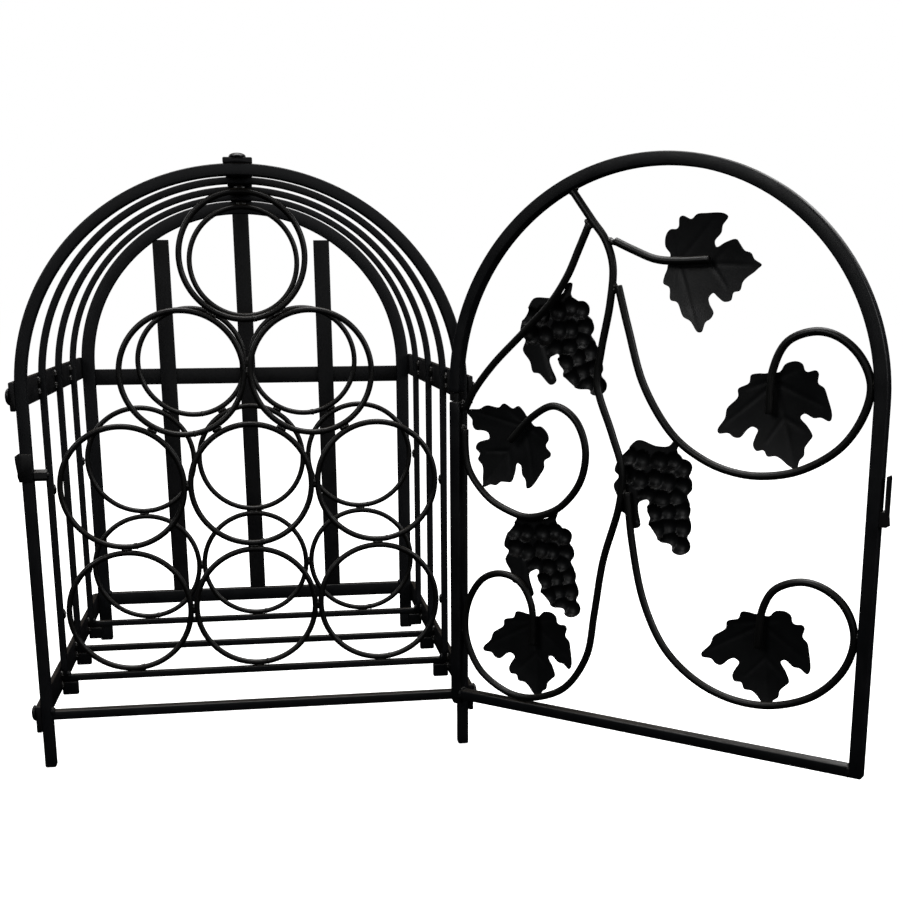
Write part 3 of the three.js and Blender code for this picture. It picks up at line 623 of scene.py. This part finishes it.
grapeStretch = [1.06, 1.04]
grapeOutline = smoothPath([
    (-2, 0), (1.5, 0.3), (0.8, 4.3), (-0.2, 7.6), (3.2, 12.3), (9, 13.7), (11.3, 17.2),
    (10.9, 23), (14, 27.1), (14.3, 32), (12.2, 36.9), (15, 42.4), (15.2, 49), (18.3, 56.2),
    (18.5, 61), (17, 65), (19.5, 70), (19.3, 74.3), (15.4, 78.1), (9.6, 78.2), (5, 74.2),
    (-0.9, 73), (-8.4, 68.7), (-12, 63.8), (-12.4, 60), (-15.5, 54.4), (-15.3, 48.4),
    (-17.9, 46.8), (-22.3, 50), (-21.5, 56), (-18.3, 65.3), (-22.7, 67.8), (-31, 59),
    (-35.8, 57.5), (-37.5, 49.7), (-42.2, 41), (-39.3, 34), (-43, 30.8), (-40.3, 20.4),
    (-35, 12.8), (-29, 6.5), (-15, 8), (-6, 6)], 1.0, closed=True) * grapeStretch
berries = [
    (-24.5, 19.5), (-11.2, 18.2), (-1, 16.4), (6.2, 19.4), (-23.4, 33.7), (-12.4, 30.5),
    (-3.5, 31.5), (8.2, 31.4), (-34, 19), (-33.5, 31.5), (-16.5, 43.4), (-5.5, 43.4),
    (4.7, 39.6), (9.8, 47.9), (-9.8, 54.4), (0, 51.3), (2, 61), (12.2, 59.8), (-6.1, 65),
    (5, 70), (13.6, 72)
]
berry = dict(radius=6.7, rise=0.8)
tail = dict(start=(-29, 30), end=(-22, 64), rise=0.8, width=1.6, below=36)
grapes = {
    "grapes_upper": (95.8, 371.8, 7.5),
    "grapes_middle": (184.6, 265.0, -7.5),
    "grapes_lower": (86.8, 206.0, 0.3),
}


def grapeHeight(x, v):
    # the highest of the berries' flattened spheres, with a ridge down the left bunch's tail
    dome = np.zeros(len(x))
    for bx, bv in berries:
        d = np.hypot(x - grapeStretch[0] * bx, v - grapeStretch[1] * bv)
        dome = np.maximum(dome, berry["rise"] * np.sqrt(np.clip(berry["radius"] ** 2 - d ** 2, 0, None)))
    d, t = distanceTo(x, v, tail["start"], tail["end"])
    ridge = tail["rise"] * np.exp(-(d / tail["width"]) ** 2) * (v > tail["below"])
    return ornamentFace + 0.3 + np.maximum(dome, ridge)


for name, (x, z, turn) in grapes.items():
    place = hangPlace(x, z, turn)
    shells = [sheetShell(grapeOutline, grapeHeight, 1.1, 1.0, place)]
    piece(name + "_sheet", shells, sheetCoat, "door", doorPlace, name, sharp=60)
print("grapes made")


# hinge lugs and pins, catch plate and its bolt, and the door's clip

def roundedOutline(corners, radius):
    # each corner becomes a quadratic curve that starts and ends that far from it
    corners = np.asarray(corners, float)
    t = np.linspace(0, 1, 5)[:, None]
    curves = []
    for before, corner, after in zip(np.roll(corners, 1, 0), corners, np.roll(corners, -1, 0)):
        start, end = corner + radius * unit(before - corner), corner + radius * unit(after - corner)
        curves.append((1 - t) ** 2 * start + 2 * t * (1 - t) * corner + t ** 2 * end)
    return np.vstack(curves)


def flatPlate(corners, radius, start, thick, order):
    # a flat plate drawn in two axes and given thickness along the third, in the order named
    def place(flat, depth):
        return np.column_stack([flat, depth])[:, order]
    outline = roundedOutline(corners, radius)
    return sheetShell(outline, lambda a, b: np.full(len(a), start), thick, 3.0, place)


pivot = np.array([160.0, -10.0, 0.0])
lug = dict(eye=4.2, reach=8.0, upper=(284.0, 290.0), lower=(40.15, 43.65))
for name in ("upper", "lower"):
    low, high = lug[name]
    turn = np.linspace(math.pi, 1.75 * math.pi, 8)
    eyeRim = pivot[:2] + lug["eye"] * np.column_stack([np.cos(turn), np.sin(turn)])
    root = [[pivot[0] + lug["reach"], -0.1], [pivot[0] - lug["eye"], -0.1]]
    shells = [flatPlate(eyeRim.tolist() + root, 0.4, low, high - low, [0, 1, 2])]
    shells += [bead([pivot[0] + 2, -0.4, z], [1, 0, 0], 10, 2.4) for z in (low, high)]
    piece(f"hinge_lug_{name}_plate", shells, fixingCoat, "rack", rackPlace, f"hinge_lug_{name}")
for name in ("hinge_pin_upper", "hinge_pin_lower"):
    low, high = (v.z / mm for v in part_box(name))
    profile = [(low, 1.2), (low + 0.4, 1.6), (high - 0.4, 1.6), (high, 1.2)]
    shells = [lathe(profile, pivot, [0, 0, 1], 24)]
    piece(name + "_turned", shells, fixingCoat, "rack", rackPlace, name)

catch = dict(low=228.0, high=249.0, reach=12.0, sheet=1.2, bolt=232.5, nut=4.5)
cheek = [[8.6, catch["low"]], [8.6, catch["high"]], [-catch["reach"], catch["high"]],
         [-catch["reach"], catch["high"] - 4], [-1.5, catch["low"]]]
catchMiddle = (catch["low"] + catch["high"]) / 2
wrap = [[x, -0.9, catchMiddle] for x in np.linspace(-halfWidth - 1.2, -halfWidth + 8.3, 12)]
shells = [flatPlate(cheek, 0.9, -halfWidth - 1.5, catch["sheet"], [2, 0, 1]),
          sweep(wrap, barSection(catch["high"] - catch["low"], catch["sheet"], 0.4), [0, 1, 0], soft=0.3)]
piece("catch_plate_sheet", shells, fixingCoat, "rack", rackPlace, "catch_plate")

boltSeat = [-halfWidth, boltLine, catch["bolt"]]
head = [(-1.6, 4.0), (-1.4, 4.15), (-2.3, 3.9), (-2.9, 2.8), (-3.25, 1.2), (-3.3, 0.2)]
nut = [(8.9, 4.1), (9.2, catch["nut"]), (18.4, catch["nut"]), (18.7, 4.1)]
shank = [(-1, 2), (19.4, 2), (19.8, 1.6)]
boltTurns = ((head, 24), (shank, 16), (nut, 6))
shells = [lathe(profile, boltSeat, [1, 0, 0], count) for profile, count in boltTurns]
piece("catch_screw", shells, fixingCoat, "rack", rackPlace, "catch_bolt", sharp=25)

edge = door["left"] + door["width"]
clip = [[edge, 217], [edge + 4.8, 217], [edge + 4, 224], [edge + 4, 248], [edge + 3.6, 250],
        [edge + 2.8, 250], [edge + 2.8, 227], [edge, 227]]
shells = [flatPlate(clip, 0.35, -door["bar"] / 2, door["bar"], [0, 2, 1])]
piece("door_clip_strip", shells, fixingCoat, "door", doorPlace, "door_clip")
print("fixings made")


# studio: a pale floor and white surroundings that the lens sees but that throw no light on the
# rack, and soft boxes that do

def paleSweep(name, glow):
    # matt paint with an even glow, so that the floor runs into the white behind it without a line
    material = bpy.data.materials.new(name)
    material.use_nodes = True
    shader = material.node_tree.nodes["Principled BSDF"]
    shader.inputs["Base Color"].default_value = linear("#e8e8e6")
    shader.inputs["Roughness"].default_value = 0.9
    shader.inputs["Emission Color"].default_value = (1, 1, 1, 1)
    shader.inputs["Emission Strength"].default_value = glow
    return material


floorMesh = bpy.data.meshes.new("floor")
floorMesh.from_pydata([(-30, -6, 0), (30, -6, 0), (30, 60, 0), (-30, 60, 0)], [], [(0, 1, 2, 3)])
floorMesh.materials.append(paleSweep("pale floor paint", 1.0))
floor = bpy.data.objects.new("floor", floorMesh)
bpy.context.scene.collection.objects.link(floor)
floor.visible_diffuse = floor.visible_glossy = False

world = bpy.data.worlds.new("studio")
bpy.context.scene.world = world
world.use_nodes = True
world.node_tree.nodes["Background"].inputs[0].default_value = (1, 1, 1, 1)
world.node_tree.nodes["Background"].inputs[1].default_value = 1.0
world.cycles_visibility.diffuse = world.cycles_visibility.glossy = False


def softBox(name, place, size, power, target=(0, 0, 0.22)):
    # a rectangular lamp turned to the middle of the rack with its door open, unseen by the lens
    light = bpy.data.lights.new(name, "AREA")
    light.shape, light.size, light.size_y, light.energy = "RECTANGLE", size[0], size[1], power
    lamp = bpy.data.objects.new(name, light)
    lamp.location = place
    lamp.rotation_euler = (Vector(target) - Vector(place)).to_track_quat("-Z", "Y").to_euler()
    lamp.visible_camera = False
    bpy.context.scene.collection.objects.link(lamp)


softBox("overhead", (0.0, 0.1, 1.9), (1.5, 1.1), 42)
softBox("left front", (-1.5, -1.3, 1.3), (0.9, 0.9), 9)
softBox("right front", (1.7, -1.2, 1.1), (0.9, 0.9), 14)
softBox("left back", (-1.4, 1.6, 1.2), (1.0, 0.9), 6)
softBox("right back", (1.5, 1.6, 1.2), (1.0, 0.9), 6)
softBox("fill", (0.2, -2.4, 0.9), (2.2, 1.4), 5)

# in rack millimetres and radians: turned right by yaw, down by pitch
camera = dict(place=(5.99, -995.86, 363.74), yaw=0.1555, pitch=0.2310, roll=-0.0046, lens=51.03,
              shift=(-0.0078, 0.16))
yaw, pitch, roll = camera["yaw"], camera["pitch"], camera["roll"]
forward = np.array([math.sin(yaw) * math.cos(pitch), math.cos(yaw) * math.cos(pitch), -math.sin(pitch)])
level = np.array([math.cos(yaw), -math.sin(yaw), 0.0])
upright = np.cross(level, forward)
right = math.cos(roll) * level + math.sin(roll) * upright
above = -math.sin(roll) * level + math.cos(roll) * upright
lens = bpy.data.cameras.new("camera")
lens.sensor_width, lens.lens = 36, camera["lens"]
lens.shift_x, lens.shift_y = camera["shift"]
lens.clip_start = 0.01
eye = bpy.data.objects.new("camera", lens)
turn = Matrix(np.column_stack([right, above, -forward]).tolist()).to_4x4()
eye.matrix_world = Matrix.Translation(rackPlace(np.array([camera["place"]]))[0].tolist()) @ turn
bpy.context.scene.collection.objects.link(eye)
bpy.context.scene.camera = eye
bpy.context.scene.view_settings.view_transform = "Standard"
